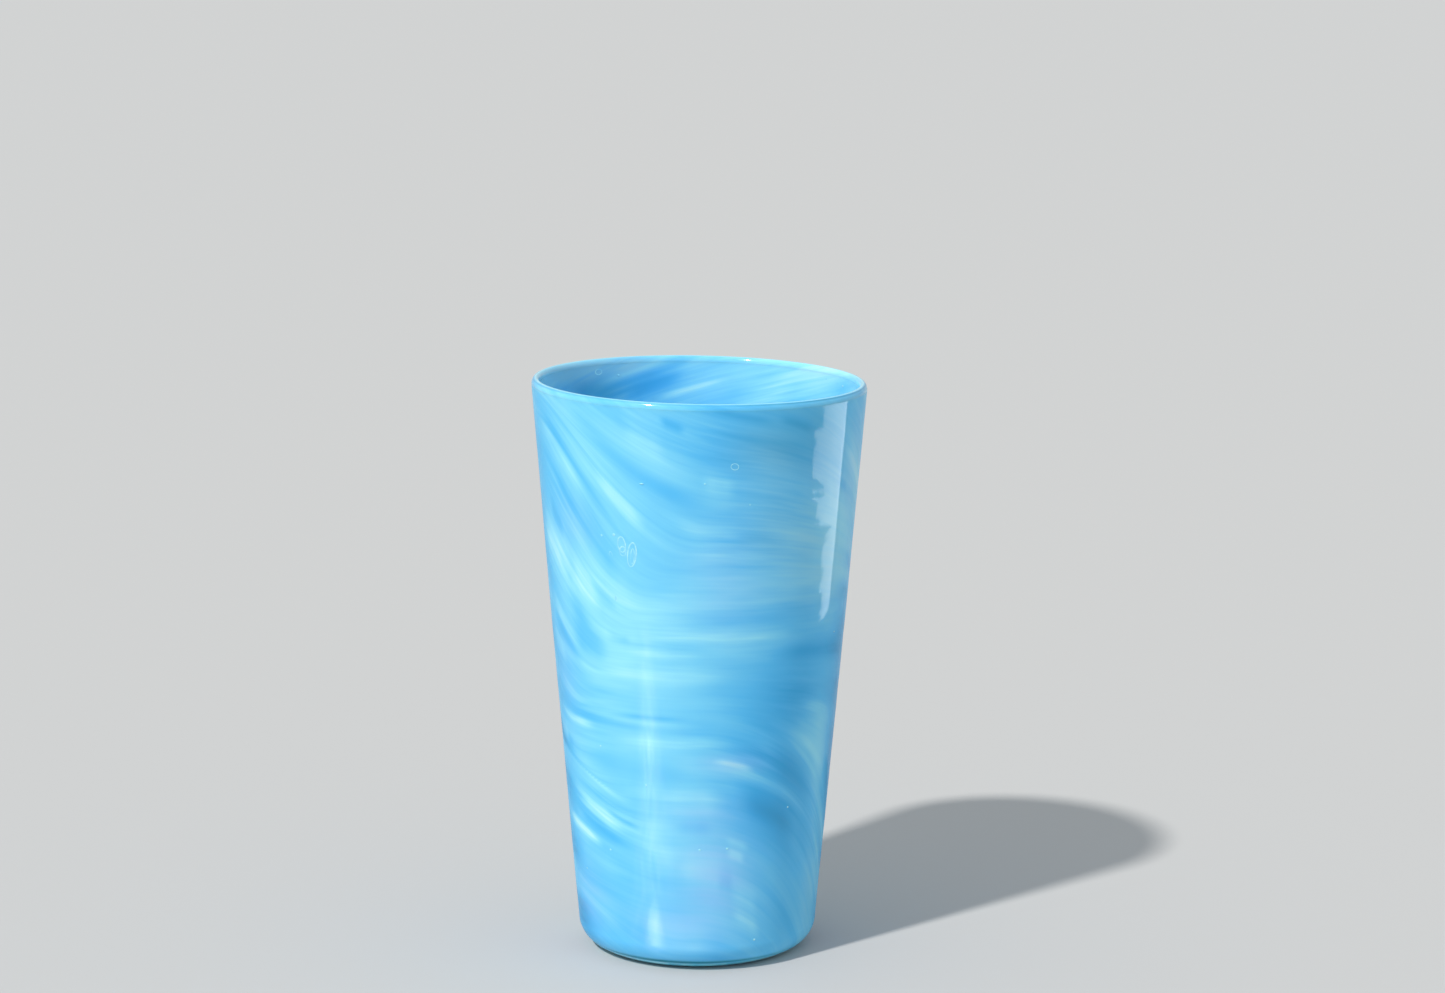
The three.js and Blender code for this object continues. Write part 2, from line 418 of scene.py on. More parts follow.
def flow_columns(angles, outline, seam, level_of, streaks_before, streaks_after, layer):
    """Where each point of one face of the wall lies in the flow, ring by ring."""
    heights = path_heights(outline)
    radii = np.array([r for r, z in outline]) / MM
    shape = (len(outline), len(angles))
    before, after = np.zeros(shape + (3,)), np.zeros(shape + (3,))
    share, streaks = np.zeros(shape), np.zeros(shape)
    for column, azimuth in enumerate(angles):
        first, second, mix = seen_from_both_sides(azimuth, seam)
        counts = (
            (before, first, streaks_before, 1 - mix),
            (after, second, streaks_after, mix),
        )
        for flow, turned, known_streaks, weight in counts:
            flow_levels = level_of(turned, heights)
            flow[:, column, 0] = flow_levels
            flow[:, column, 1] = radii * math.radians(turned)
            flow[:, column, 2] = layer
            streaks[:, column] += weight * streak_sum(known_streaks, turned, flow_levels)
        share[:, column] = mix
    return before, after, share, streaks


def cloud_columns(angles, outline, clouds):
    """How strong a set of clouds is at each point of one face of the wall, ring by ring."""
    heights = path_heights(outline)
    return np.array([cloud_sum(clouds, azimuth, heights) for azimuth in angles]).T


def store(piece, name, kind, values):
    """Keeps a value for each vertex, for the material to read."""
    layer = piece.data.attributes.new(name, kind, "POINT")
    layer.data.foreach_set("vector" if kind == "FLOAT_VECTOR" else "value", values.ravel())


def wall_fields(angles, up, bowl):
    """The name of each stored value, with its rings from the top down outside and inside."""
    dice = random.Random(DICE_SEED)
    right = STREAKS + back_streaks(dice, 84, 200, 20, 250, 90)
    left = STREAKS + back_streaks(dice, -200, -84, -80, 150, 90)
    around = BOWL_STREAKS + back_streaks(dice, -60, 420, -20, 138, 170)
    # The outside's seam is at the back and the bowl's is at the front, out of the photo's sight.
    fields = list(zip(
        ("flow_before", "flow_after", "flow_share", "streaks"),
        flow_columns(angles, up, 180, outside_levels, right, left, 0),
        flow_columns(angles, bowl, 360, bowl_levels, around, around, BOWL_LAYER),
    ))
    clouds = (
        # The clouds are partly the glass's own tone and partly painted light and shade.
        ("clouds", TONE_AND_PAINTED_LIGHT_CLOUDS, BOWL_TONE_AND_PAINTED_LIGHT_CLOUDS),
        ("lavender", LAVENDER_CLOUDS, []),
        # Teal and painted shade, with the foot's painted dark line.
        ("teal_and_shade", TEAL_AND_PAINTED_SHADE_CLOUDS + [PAINTED_FOOT_SHADE_LINE], BOWL_PAINTED_SHADE_CLOUDS),
        # Painted warm light.
        ("painted_warm_light", PAINTED_WARM_LIGHT_CLOUDS, BOWL_PAINTED_WARM_LIGHT_CLOUDS),
        ("combed", COMBED_CLOUDS, BOWL_COMBED_CLOUDS),
    )
    for name, outer, inner in clouds:
        fields.append((name, cloud_columns(angles, up, outer), cloud_columns(angles, bowl, inner)))
    return fields


def paint_flow(piece, angles, outside, bowl):
    """Stores the flow and the clouds of the wall, outside and in the bowl, on its vertices.

    The vertices are in the outline's order, with a single one at each end, on the axis.
    """
    for name, outer, inner in wall_fields(angles, outside[::-1], bowl):
        outer = outer[::-1]
        rings = [outer[:1, :1], outer[1:], inner[:-1], inner[-1:, :1]]
        kind = "FLOAT_VECTOR" if outer.ndim == 3 else "FLOAT"
        store(piece, name, kind, np.concatenate([ring.reshape(-1) for ring in rings]))


def ripple(piece):
    """Moves the outside by up to about a tenth of a millimetre, as blown glass is never true.

    The movement dies out towards the heel and the mouth. The noise's scales are per metre.
    """
    for vertex in piece.data.vertices:
        x, y, z = vertex.co
        r = math.hypot(x, y)
        if r < wall_radius(z) - WALL_THICKNESS / 2:
            continue
        fade = smooth_step((z - HEEL_RADIUS) / (8 * MM)) * smooth_step((WALL_TOP - z) / (6 * MM))
        long_waves = noise.noise(Vector((x * 45, y * 45, z * 28)))
        short_waves = noise.noise(Vector((x * 70, y * 70, z * 190 + 9)))
        reach = RIPPLE * fade * (long_waves + 0.35 * short_waves)
        vertex.co.x += reach * x / r
        vertex.co.y += reach * y / r


def outside_outline():
    """The wall's underside, heel and outside, from the axis to the mouth."""
    sole = FOOT_TOP + JOINT_GAP
    heel = turn(heel_centre, HEEL_RADIUS, heel_angle(sole), 90, steps=14)
    under = floor(heel[0][0] - DOME_INSET, sole, steps=12)
    return under + heel + wall(0, HEEL_RADIUS, WALL_TOP - JOINT_GAP, steps=286)[1:]


def bowl_outline():
    """The inside of the wall and the bowl's floor, from the mouth to the axis."""
    step_down = 130 * MM  # the part above shows in the photo, and has closer rings
    turn_height = FOOT_TOP + FLOOR_THICKNESS + BOWL_RADIUS
    centre = (wall_radius(turn_height) - WALL_THICKNESS - BOWL_RADIUS, turn_height)
    upper = wall(WALL_THICKNESS, WALL_TOP - JOINT_GAP, step_down, steps=41)
    lower = wall(WALL_THICKNESS, step_down, turn_height, steps=40)
    bend = turn(centre, BOWL_RADIUS, 90, 0, steps=12)
    bottom = floor(centre[0], FOOT_TOP + FLOOR_THICKNESS, steps=10)[::-1]
    return upper + lower[1:] + bend[1:] + bottom[1:]


wall_angles = front_angles()
opal_wall = revolve("opal_wall", outside_outline() + bowl_outline(), wall_angles)
paint_flow(opal_wall, wall_angles, outside_outline(), bowl_outline())
ripple(opal_wall)
finish_piece(opal_wall, "opal_glass", "inner_lining", "colour_layer", "outer_casing")


# ---------------------------------------------------------------- lip, foot and pontil mark

LIP_STEPS = 28


def lip_outline():
    """The fire-polished edge on top of the wall, as a loop from outside to inside."""
    low = WALL_TOP + JOINT_GAP
    middle = wall_radius(low) - WALL_THICKNESS / 2

    def over(t):
        angle = math.pi * t
        reach = WALL_THICKNESS / 2 * math.cos(angle)
        return middle + reach, low + (HEIGHT - low) * math.sin(angle)

    base = trace(6, lambda t: (middle + WALL_THICKNESS * (t - 0.5), low))
    return trace(LIP_STEPS, over) + base[1:-1]


def foot_outline():
    """The disc of clear blue glass under the colour floor, with its push-up and ring."""
    top = FOOT_TOP - JOINT_GAP
    heel = turn(heel_centre, HEEL_RADIUS, 0, heel_angle(top), steps=10)
    button = BUTTON_RADIUS + JOINT_GAP
    socket_depth = 0.7 * MM

    def kick_at(t):
        r = button + (KICK_RADIUS - button) * t
        return r, kick_height(r)

    socket = trace(6, lambda t: (button * t, kick_height(button) + socket_depth * (1 - t * t)))
    kick = trace(18, kick_at)
    ring = trace(4, lambda t: (KICK_RADIUS + (heel_centre[0] - KICK_RADIUS) * t, 0))
    dome = floor(heel[-1][0] - DOME_INSET, top, steps=14)[::-1]
    return socket + kick[1:] + ring[1:] + heel[1:] + dome


def button_outline():
    """The ground scar where the pontil rod was, seen from below."""
    edge, edge_height = BUTTON_RADIUS, kick_height(BUTTON_RADIUS)
    back_height = 0.6 * MM

    def side_at(t):
        r = BUTTON_FACE_RADIUS + (edge - BUTTON_FACE_RADIUS) * t
        return r, BUTTON_FACE + (edge_height - BUTTON_FACE) * t

    face = trace(8, lambda t: (BUTTON_FACE_RADIUS * t, BUTTON_FACE))
    side = trace(3, side_at)
    back = trace(6, lambda t: (edge * (1 - t), edge_height + back_height * (1 - (1 - t) ** 2)))
    return face + side[1:] + back[1:]


def bell(value, middle, width):
    """1 at the middle, and falling to 0 on both sides of it."""
    return np.exp(-((value - middle) / width) ** 2)


def paint_lip(piece, angles, outline):
    """Carries the wall's flow on over the lip, and stores a painted highlight along its crest and
    a painted dark line of shade below it.
    """
    crest = LIP_STEPS // 2
    outer, inner = outline[crest::-1], outline[crest:LIP_STEPS + 1]
    hidden = len(outline) - LIP_STEPS - 1
    for name, outside, inside in wall_fields(angles, outer, inner):
        rings = [outside[::-1], inside[1:]] + [inside[-1:]] * hidden
        kind = "FLOAT_VECTOR" if outside.ndim == 3 else "FLOAT"
        store(piece, name, kind, np.concatenate([ring.reshape(-1) for ring in rings]))
    over = np.array([min(1, i / LIP_STEPS) for i in range(len(outline))])[:, None]
    around = np.array(angles)[None, :]
    # Over the lip, 0 is outside, 0.5 is the crest and 1 is inside.
    # The bright crest is a painted highlight.
    store(piece, "crest", "FLOAT", bell(over, 0.5, 0.095) * np.ones(around.shape))
    # The dark line below it is painted shade, strongest on the front right.
    shade = 0.3 + 0.7 * bell(around, 60, 45) + 0.3 * bell(around, -70, 30)
    store(piece, "shade", "FLOAT", bell(over, 0.32, 0.06) * shade)


lip_angles = even_angles(240)
lip = revolve("rolled_lip", lip_outline(), lip_angles, closed=True)
paint_lip(lip, lip_angles, lip_outline())
finish_piece(lip, "lip_glass", "lip")
foot = revolve("foot_disc", foot_outline(), even_angles(180))
finish_piece(foot, "foot_glass", "foot")
button = revolve("pontil_mark", button_outline(), even_angles(72))
finish_piece(button, "ground_glass", "pontil_button")


# ---------------------------------------------------------------- seeds and blisters

# Air caught in the casing: azimuth, height, half width, half height, tilt, and the half
# thickness of its edge, in degrees and millimetres. Those without an edge are dots.
BLISTERS = [
    (-24.6, 112.2, 1.2, 3.2, 8, 0.16), (-24.4, 111.8, 0.5, 2.0, 6, 0.12),
    (-28.6, 114.6, 1.1, 2.0, -6, 0.15), (-28.2, 112.9, 0.9, 1.2, 0, 0.15),
    (-33.2, 111.2, 0.5, 1.2, -14, 0.14), (12.2, 136, 1.0, 0.8, 10, 0.06),
    (40.5, 44.6, 1.1, 0.5, -35, 0.11),
]
SEEDS = [
    (-31.6, 117.0, 0.42, 0.42), (-37.0, 116.4, 0.32, 0.32), (-32.0, 100.2, 0.34, 0.7),
    (-20.0, 131.0, 0.6, 0.22), (2.0, 131.6, 0.3, 0.3), (42.2, 43.4, 0.3, 0.25),
    (13.0, 34.2, 0.35, 0.3), (1.0, 34.0, 0.3, 0.3), (-42.0, 31.6, 0.35, 0.25),
    (-22.0, 51.0, 0.25, 0.4), (-44.0, 59.6, 0.3, 0.25), (28.0, 8.2, 0.35, 0.3),
    (-61.0, 24.0, 0.25, 0.25), (18.0, 126.0, 0.25, 0.25), (66.0, 88.0, 0.3, 0.25),
    (118.0, 96.0, 0.4, 0.4), (150.0, 62.0, 0.35, 0.6), (-152.0, 118.0, 0.4, 0.5),
    (-120.0, 44.0, 0.3, 0.4), (-98.0, 82.0, 0.3, 0.3), (171.0, 128.0, 0.35, 0.35),
    (-168.0, 24.0, 0.3, 0.5),
]
BOWL_BLISTERS = [(221, 148.6, 1.1, 0.7, 0, 0.13), (60, 118, 1.0, 1.8, 12, 0.15)]
BOWL_SEEDS = [
    (212, 147.2, 0.4, 0.25), (113, 148.2, 0.4, 0.3), (125, 149, 0.25, 0.2), (25, 132, 0.4, 0.4),
]
RIM_STEPS = 40  # round a blister
SECTION_STEPS = 8  # round the edge of a blister
EDGE_SPREAD = 1.6  # half width of a blister's edge, in half thicknesses
EDGE_RISE = 0.45  # how far the edge reaches out from its middle, in half thicknesses
EDGE_SINK = 0.45  # share of that by which its middle lies in the glass
SEED_RINGS = 6
SEED_STEPS = 12  # round a seed
SEED_RISE = 0.3  # how far a seed reaches out from its middle, in half widths
SEED_PROUD = 0.1  # share of that by which its middle stands out


def on_wall(azimuth, height, aside, above, out, bowl):
    """A point near the wall's face, told in millimetres from a place on it."""
    z = (height + above) * MM
    r = wall_radius(z) + out * MM
    if bowl:
        r = wall_radius(z) - WALL_THICKNESS - out * MM
    angle = math.radians(azimuth) + aside * MM / r
    return r * math.sin(angle), -r * math.cos(angle), z


def add_blister(mesh, azimuth, height, half_width, half_height, tilt, edge, bowl):
    """The raised rim of a flattened bubble, sunk for the most part in the glass."""
    lean = math.radians(tilt)
    rings = []
    for i in range(RIM_STEPS):
        turned = 2 * math.pi * i / RIM_STEPS
        ring = []
        for k in range(SECTION_STEPS):
            section = 2 * math.pi * k / SECTION_STEPS
            wider = EDGE_SPREAD * edge * math.cos(section)
            across = (half_width + wider) * math.cos(turned)
            along = (half_height + wider) * math.sin(turned)
            aside = across * math.cos(lean) + along * math.sin(lean)
            above = along * math.cos(lean) - across * math.sin(lean)
            out = EDGE_RISE * edge * (math.sin(section) - EDGE_SINK)
            ring.append(mesh.verts.new(on_wall(azimuth, height, aside, above, out, bowl)))
        rings.append(ring)
    for i, ring in enumerate(rings):
        following = rings[(i + 1) % RIM_STEPS]
        for k in range(SECTION_STEPS):
            n = (k + 1) % SECTION_STEPS
            mesh.faces.new((ring[k], following[k], following[n], ring[n]))


def add_seed(mesh, azimuth, height, half_width, half_height, bowl):
    """A small bubble that stands a little proud of the glass."""
    def corner(turned, spoke):
        aside = half_width * math.sin(turned) * math.cos(spoke)
        above = half_height * math.sin(turned) * math.sin(spoke)
        out = SEED_RISE * half_width * (math.cos(turned) + SEED_PROUD)
        return mesh.verts.new(on_wall(azimuth, height, aside, above, out, bowl))

    rings = []
    for i in range(1, SEED_RINGS + 1):
        turned = math.pi * i / (SEED_RINGS + 1)
        spokes = [2 * math.pi * k / SEED_STEPS for k in range(SEED_STEPS)]
        rings.append([corner(turned, spoke) for spoke in spokes])
    outer, inner = corner(0, 0), corner(math.pi, 0)
    following = [(k + 1) % SEED_STEPS for k in range(SEED_STEPS)]
    for low, high in zip(rings, rings[1:]):
        for k, n in enumerate(following):
            mesh.faces.new((low[k], high[k], high[n], low[n]))
    for k, n in enumerate(following):
        mesh.faces.new((outer, rings[0][k], rings[0][n]))
        mesh.faces.new((inner, rings[-1][n], rings[-1][k]))


def bubbles():
    """All the seeds and blisters, as one piece."""
    mesh = bmesh.new()
    for bowl, blisters, seeds in ((False, BLISTERS, SEEDS), (True, BOWL_BLISTERS, BOWL_SEEDS)):
        for blister in blisters:
            add_blister(mesh, *blister, bowl)
        for seed in seeds:
            add_seed(mesh, *seed, bowl)
    bmesh.ops.recalc_face_normals(mesh, faces=mesh.faces)
    return piece_from(mesh, "seeds_and_blisters")


seeds = bubbles()
finish_piece(seeds, "casing_glass")


# ---------------------------------------------------------------- materials

def add_node(tree, kind, inputs=None, **settings):
    """A new node, with its settings, and each input set or linked."""
    made = tree.nodes.new("ShaderNode" + kind)
    for name, value in settings.items():
        setattr(made, name, value)
    for name, value in (inputs or {}).items():
        if isinstance(value, bpy.types.NodeSocket):
            tree.links.new(value, made.inputs[name])
        else:
            made.inputs[name].default_value = value
    return made


def maths(tree, operation, *values):
    """The result of a sum on values or sockets."""
    inputs = dict(enumerate(values))
    return add_node(tree, "Math", inputs, operation=operation).outputs[0]


def blended(tree, share, first, second):
    """A colour between two others. The mix node's colour sockets are 6 and 7, and 2 is out."""
    inputs = {0: share, 6: first, 7: second}
    return add_node(tree, "Mix", inputs, data_type="RGBA").outputs[2]


def read(tree, name, output="Fac"):
    """A value that is stored on the vertices."""
    return add_node(tree, "Attribute", attribute_name=name).outputs[output]


def combed_noise(tree, flow, across, along, seed, detail=2.0):
    """Noise drawn out along the flow. The sizes are in millimetres."""
    mapped = add_node(tree, "Mapping", {
        "Vector": flow,
        "Location": (seed, seed * 1.7, 0),
        "Scale": (1 / across, 1 / along, 1),
    })
    texture = add_node(tree, "TexNoise", {
        "Vector": mapped.outputs[0],
        "Scale": 1.0,
        "Detail": detail,
        "Roughness": 0.55,
    })
    return maths(tree, "SUBTRACT", texture.outputs["Fac"], 0.5)


def ramp(tree, value, stops):
    """Colours along a scale from 0 to 1."""
    made = add_node(tree, "ValToRGB", {"Fac": value})
    elements = made.color_ramp.elements
    while len(elements) < len(stops):
        elements.new(0.5)
    for element, (place, colour) in zip(elements, stops):
        element.position = place
        element.color = colour + (1,)
    return made.outputs["Color"]


OPAL_COLOURS = [
    (0.00, (0.020, 0.300, 0.620)),
    (0.25, (0.055, 0.430, 0.820)),
    (0.45, (0.110, 0.540, 0.930)),
    (0.62, (0.200, 0.660, 0.970)),
    (0.80, (0.310, 0.780, 1.000)),
    (1.00, (0.460, 0.890, 1.000)),
]


def flow_lightness(tree, flow, combed):
    """How light the opal is, from 0 to 1, without the streaks, and how its fibres run."""
    broad = combed_noise(tree, flow, 15, 48, 3.1)
    middle = combed_noise(tree, flow, 4.2, 36, 11.7)
    fine = combed_noise(tree, flow, 1.1, 20, 23.3)
    total = maths(tree, "MULTIPLY_ADD", broad, 0.5, 0.57)
    fibres = maths(tree, "MULTIPLY_ADD", fine, 0.45, middle)
    total = maths(tree, "MULTIPLY_ADD", fibres, combed, total)
    return total, maths(tree, "MULTIPLY_ADD", fibres, 1.8, 1.0)


def between(tree, share, first, second):
    """A number between two others. The mix node's number sockets are 2 and 3."""
    inputs = {0: share, 2: first, 3: second}
    return add_node(tree, "Mix", inputs, data_type="FLOAT").outputs[0]


def opal_colour_and_painted_light(tree):
    """The colour of the combed opal, from the values on the vertices, with the painted light,
    shade and warm light that its clouds add.
    """
    share = read(tree, "flow_share")
    combed = maths(tree, "MULTIPLY_ADD", read(tree, "combed"), 0.60, 0.14)
    pairs = [
        flow_lightness(tree, read(tree, name, "Vector"), combed)
        for name in ("flow_before", "flow_after")
    ]
    lightness, fibres = [between(tree, share, *pair) for pair in zip(*pairs)]
    streaks = maths(tree, "MULTIPLY", read(tree, "streaks"), fibres)
    lightness = maths(tree, "MULTIPLY_ADD", streaks, 0.38, lightness)
    # The clouds add painted light and shade as well as the glass's own uneven tone.
    lightness = maths(tree, "ADD", lightness, read(tree, "clouds"))
    colour = ramp(tree, lightness, OPAL_COLOURS)
    lavender = maths(tree, "MULTIPLY", read(tree, "lavender"), fibres)
    colour = blended(tree, maths(tree, "MULTIPLY", lavender, 0.55), colour, (0.36, 0.56, 0.98, 1))
    # Painted warm light, as of light that has come through the glass.
    painted_warm_light = maths(tree, "MULTIPLY", read(tree, "painted_warm_light"), fibres)
    colour = blended(tree, maths(tree, "MULTIPLY", painted_warm_light, 0.8), colour, (0.310, 0.690, 0.880, 1))
    # Teal that is partly the glass's own and partly painted shade, with the foot's painted dark
    # line.
    return blended(tree, read(tree, "teal_and_shade"), colour, (0.020, 0.240, 0.340, 1))


def opal_glass(name, colour_of, coat, coat_ior, coat_roughness):
    """Opal glass under a clear casing, with the colours that a function makes."""
    made = bpy.data.materials.new(name)
    made.use_nodes = True
    tree = made.node_tree
    shader = tree.nodes["Principled BSDF"]
    tree.links.new(colour_of(tree), shader.inputs["Base Color"])
    shader.inputs["Roughness"].default_value = 0.5
    shader.inputs["IOR"].default_value = 1.5
    shader.inputs["Specular IOR Level"].default_value = 0.0
    shader.inputs["Subsurface Weight"].default_value = 0.3
    shader.inputs["Subsurface Radius"].default_value = (0.7, 0.9, 1.0)
    shader.inputs["Subsurface Scale"].default_value = 0.001
    shader.inputs["Coat Weight"].default_value = coat
    shader.inputs["Coat IOR"].default_value = coat_ior
    shader.inputs["Coat Roughness"].default_value = coat_roughness
    return made


def lip_colour(tree):
    """The same glass, with a painted highlight along the crest and a painted dark line of shade
    where it bends over.
    """
    colour = opal_colour_and_painted_light(tree)
    # Painted shade: the dark line where the lip bends over.
    colour = blended(tree, read(tree, "shade"), colour, (0.030, 0.280, 0.520, 1))
    # Painted highlight along the crest.
    return blended(tree, read(tree, "crest"), colour, (0.360, 0.820, 1.000, 1))


def millimetres(tree):
    """The place on the piece, in millimetres."""
    place = add_node(tree, "TexCoord").outputs["Object"]
    return add_node(tree, "VectorMath", {0: place, "Scale": 1000.0}, operation="SCALE").outputs[0]


def clouding(tree, place, scale, detail, distortion=0.0):
    """Plain noise from 0 to 1. The scale is in waves to a millimetre."""
    return add_node(tree, "TexNoise", {
        "Vector": place,
        "Scale": scale,
        "Detail": detail,
        "Distortion": distortion,
    }).outputs["Fac"]


def clear_skin(shader, roughness):
    """Sets a polished glass shader's constants."""
    shader.inputs["IOR"].default_value = 1.5
    shader.inputs["Coat Weight"].default_value = 0.8
    shader.inputs["Coat Roughness"].default_value = roughness


def foot_material():
    """Clear blue glass with slow swirls, worn dull on the ring that it stands on."""
    made = bpy.data.materials.new("foot_blue_glass")
    made.use_nodes = True
    tree = made.node_tree
    place = millimetres(tree)
    swirls = clouding(tree, place, 0.09, 3.0, 1.6)
    colour = ramp(tree, swirls, [
        (0.30, (0.060, 0.500, 0.760)),
        (0.50, (0.150, 0.720, 0.950)),
        (0.72, (0.320, 0.860, 1.000)),
    ])
    height = add_node(tree, "SeparateXYZ", {0: place}).outputs[2]
    wear = add_node(tree, "MapRange", {0: height, 1: 0.5, 2: 0.0, 3: 0.0, 4: 0.45}).outputs[0]
    scratches = clouding(tree, place, 2.5, 4.0)
    roughness = maths(tree, "MULTIPLY_ADD", wear, scratches, 0.08)
    shader = tree.nodes["Principled BSDF"]
    tree.links.new(colour, shader.inputs["Base Color"])
    tree.links.new(roughness, shader.inputs["Roughness"])
    clear_skin(shader, 0.05)
    return made


def ground_material():
    """The scar of the pontil rod, ground flat and left matt, with small chips."""
    made = bpy.data.materials.new("ground_pontil_glass")
    made.use_nodes = True
    tree = made.node_tree
    place = millimetres(tree)
    grain = clouding(tree, place, 4.0, 4.0)
    patches = clouding(tree, place, 0.35, 2.0)
    chips = add_node(tree, "TexVoronoi", {"Vector": place, "Scale": 0.8}).outputs["Distance"]
    mixed = maths(tree, "MULTIPLY_ADD", grain, 0.6, maths(tree, "MULTIPLY", patches, 0.4))
    colour = ramp(tree, mixed, [
        (0.30, (0.150, 0.430, 0.600)),
        (0.50, (0.290, 0.600, 0.760)),
        (0.72, (0.520, 0.780, 0.880)),
    ])
    height = maths(tree, "MULTIPLY_ADD", chips, 0.5, grain)
    bump = add_node(tree, "Bump", {"Strength": 0.5, "Distance": 0.00008, "Height": height})
    shader = tree.nodes["Principled BSDF"]
    tree.links.new(colour, shader.inputs["Base Color"])
    tree.links.new(maths(tree, "MULTIPLY_ADD", grain, 0.4, 0.45), shader.inputs["Roughness"])
    tree.links.new(bump.outputs["Normal"], shader.inputs["Normal"])
    shader.inputs["IOR"].default_value = 1.5
    return made


def bubble_material():
    """The bright skin of an air bubble, which is paler here and there."""
    made = bpy.data.materials.new("bubble_glass")
    made.use_nodes = True
    tree = made.node_tree
    patches = clouding(tree, millimetres(tree), 0.9, 2.0)
    colour = ramp(tree, patches, [
        (0.35, (0.260, 0.730, 1.000)),
        (0.65, (0.420, 0.870, 1.000)),
    ])
    shader = tree.nodes["Principled BSDF"]
    tree.links.new(colour, shader.inputs["Base Color"])
    tree.links.new(maths(tree, "MULTIPLY_ADD", patches, 0.2, 0.1), shader.inputs["Roughness"])
    clear_skin(shader, 0.03)
    return made


opal_wall.data.materials.append(opal_glass("combed_opal_glass", opal_colour_and_painted_light, 0.5, 1.36, 0.03))
lip.data.materials.append(opal_glass("polished_lip_glass", lip_colour, 1.0, 1.5, 0.08))
foot.data.materials.append(foot_material())
seeds.data.materials.append(bubble_material())
button.data.materials.append(ground_material())


# ---------------------------------------------------------------- table, light and camera

def table_top():
    """A pale table that goes on far behind the glass."""
    below_glass = -0.02 * MM
    bpy.ops.mesh.primitive_plane_add(size=60, location=(0, 0, below_glass))
    made = bpy.context.object
    made.name = "table_top"
    material = bpy.data.materials.new("pale_table")
    material.use_nodes = True
    shader = material.node_tree.nodes["Principled BSDF"]
    shader.inputs["Base Color"].default_value = (0.56, 0.56, 0.56, 1)
    shader.inputs["Roughness"].default_value = 0.9
    shader.inputs["Specular IOR Level"].default_value = 0.0
    made.data.materials.append(material)


def direction(azimuth, elevation):
    """A unit vector from the glass. Azimuth 0 is in front, and grows to the right."""
    a, e = math.radians(azimuth), math.radians(elevation)
    return Vector((math.cos(e) * math.sin(a), -math.cos(e) * math.cos(a), math.sin(e)))


def new_light(name, kind, power, place, target):
    """A light that faces a point, and isn't seen itself."""
    data = bpy.data.lights.new(name, kind)
    data.energy = power
    made = bpy.data.objects.new(name, data)
    bpy.context.scene.collection.objects.link(made)
    made.location = place
    made.rotation_euler = (target - place).to_track_quat("-Z", "Y").to_euler()
    made.visible_camera = False
    return made


# Cards beside the glass and on the table, which only show as reflections in the casing:
# place, direction that each faces, turn, width, height, power and what its edges are like.
REFLECTIONS = [
    ((0.30, 0.054, 0.068), (-1, 0, 0), 0, 0.192, 0.066, 0.23, "ragged"),
    ((0.30, 0.103, 0.018), (-1, 0, 0), 0, 0.095, 0.034, 0.050, "ragged"),
    ((-0.10, -0.1315, 0.0004), (0, 0, 1), 41.3, 0.072, 0.28, 0.62, "soft"),
    ((-0.0264, -0.0472, 0.0005), (0, 0, 1), 41.3, 0.015, 0.046, 0.045, "soft"),
    ((0.205, -0.315, 0.0004), (0, 0, 1), -33, 0.004, 0.15, 0.004, "sharp"),
]


def soft_glow(tree, across):
    """A grainy strength that is highest in the middle of a light and dies out at its edge."""
    centred = add_node(tree, "VectorMath", {0: across, 1: (0.5, 0.5, 0)}, operation="SUBTRACT")
    away = add_node(tree, "VectorMath", {0: centred.outputs[0]}, operation="LENGTH")
    glow = maths(tree, "MULTIPLY_ADD", away.outputs["Value"], -2.0, 1.0)
    glow = maths(tree, "POWER", maths(tree, "MAXIMUM", glow, 0.0), 1.2)
    grain = add_node(tree, "TexNoise", {"Vector": across, "Scale": 14.0, "Detail": 3.0})
    rough = maths(tree, "MULTIPLY_ADD", grain.outputs["Fac"], 5.0, -1.5)
    return maths(tree, "MULTIPLY", glow, maths(tree, "MAXIMUM", rough, 0.0))


def ragged_edge(tree, across):
    """Full strength, but for teeth of uneven length that are cut into one side of a light."""
    parts = add_node(tree, "SeparateXYZ", {0: across})
    inputs = {"W": parts.outputs[1], "Scale": 8.0}
    teeth = add_node(tree, "TexNoise", inputs, noise_dimensions="1D")
    edge = maths(tree, "MULTIPLY_ADD", teeth.outputs["Fac"], 1.8, -0.80)
    return maths(tree, "GREATER_THAN", parts.outputs[0], edge)


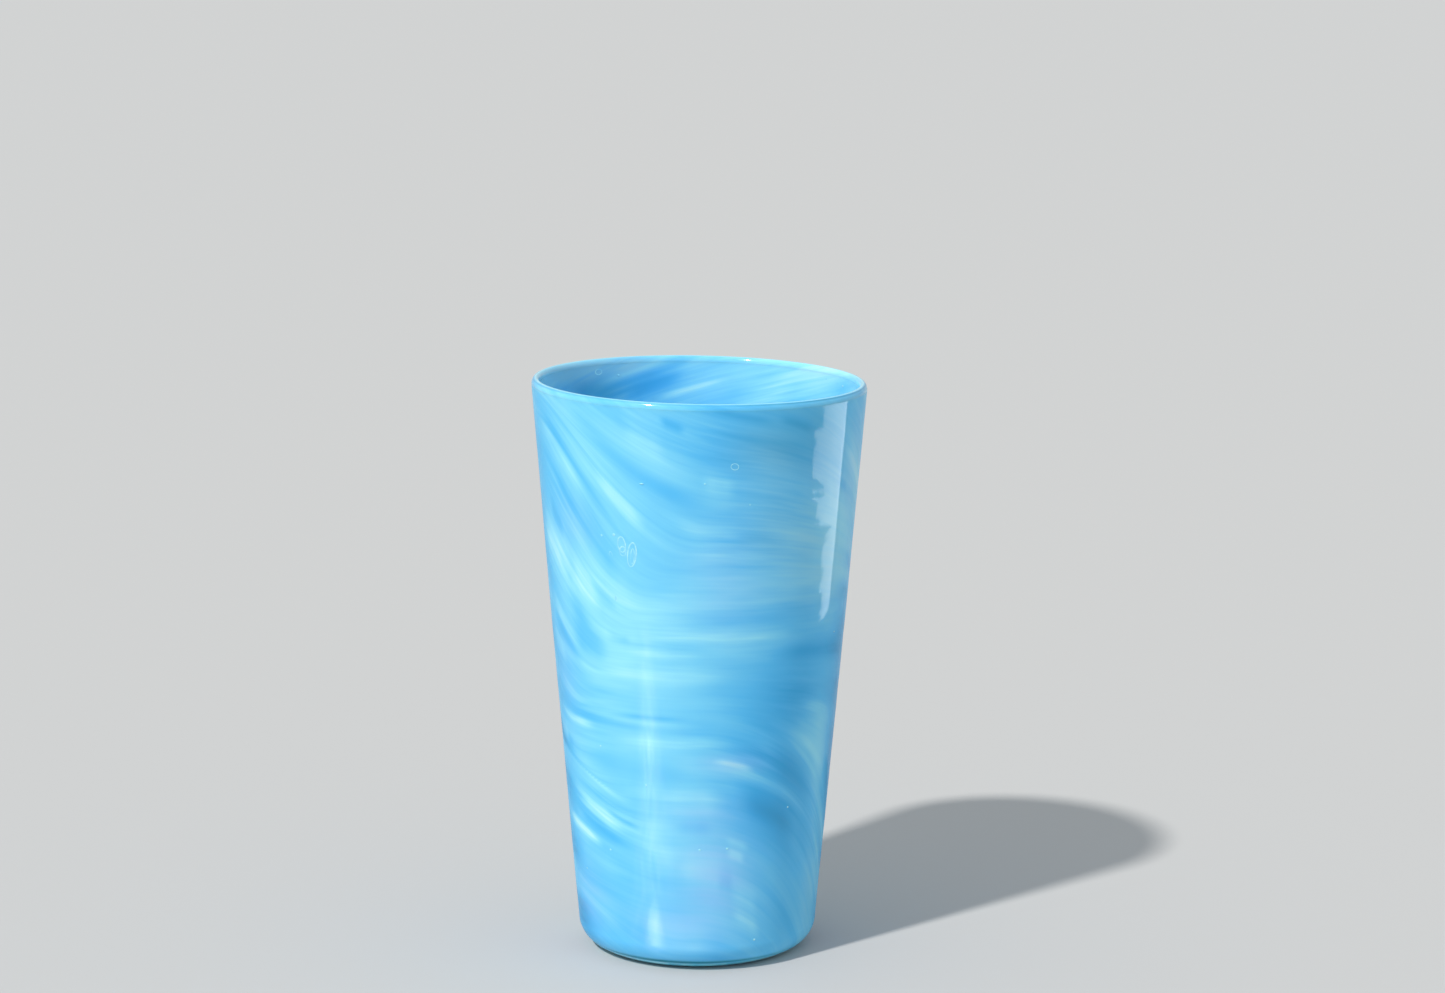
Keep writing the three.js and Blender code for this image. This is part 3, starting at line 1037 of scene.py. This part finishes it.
def shape_light(data, strength_of):
    """Gives a light the strength that a function makes from the place on it."""
    data.use_nodes = True
    tree = data.node_tree
    across = add_node(tree, "NewGeometry").outputs["Parametric"]
    emission = next(node for node in tree.nodes if node.type == "EMISSION")
    tree.links.new(strength_of(tree, across), emission.inputs["Strength"])


def reflection(place, facing, turned, width, height, power, edges):
    """A card of light that only shows in polished glass."""
    made = new_light("reflection", "AREA", power, Vector(place), Vector(place) + Vector(facing))
    made.data.shape = "RECTANGLE"
    made.data.size, made.data.size_y = width, height
    made.rotation_euler.rotate_axis("Z", math.radians(turned))
    made.visible_diffuse = False
    if edges == "soft":
        shape_light(made.data, soft_glow)
    if edges == "ragged":
        shape_light(made.data, ragged_edge)


def lights():
    """A key light from the front left, the reflections, and an even light from all round."""
    middle = Vector((0, 0, HEIGHT / 2))
    key = new_light("key", "SUN", 2.6, middle + direction(-42, 47), middle)
    key.data.angle = math.radians(3)
    key.data.color = (1, 0.97, 0.93)
    for card in REFLECTIONS:
        reflection(*card)
    world = bpy.data.worlds.new("room")
    world.use_nodes = True
    world.node_tree.nodes["Background"].inputs["Color"].default_value = (0.9, 0.96, 1, 1)
    world.node_tree.nodes["Background"].inputs["Strength"].default_value = 0.60
    bpy.context.scene.world = world


def camera():
    """The photo's view, a metre from the glass's middle and some 13 degrees above it."""
    rise = math.radians(12.90)
    pitch, yaw, roll = math.radians(10.38), math.radians(0.365), math.radians(0.310)
    place = Vector((0, -math.cos(rise), HEIGHT / 2 + math.sin(rise)))
    ahead = Vector((
        math.sin(yaw) * math.cos(pitch),
        math.cos(yaw) * math.cos(pitch),
        -math.sin(pitch),
    ))
    right = ahead.cross(Vector((0, 0, 1))).normalized()
    up = right.cross(ahead)
    side = right * math.cos(roll) + up * math.sin(roll)
    top = up * math.cos(roll) - right * math.sin(roll)
    data = bpy.data.cameras.new("camera")
    data.lens = 93.85
    data.sensor_width = 36
    made = bpy.data.objects.new("camera", data)
    bpy.context.scene.collection.objects.link(made)
    axes = Matrix((side, top, -ahead)).transposed()
    made.matrix_world = Matrix.Translation(place) @ axes.to_4x4()
    bpy.context.scene.camera = made


table_top()
lights()
camera()
bpy.context.scene.view_settings.view_transform = "Standard"
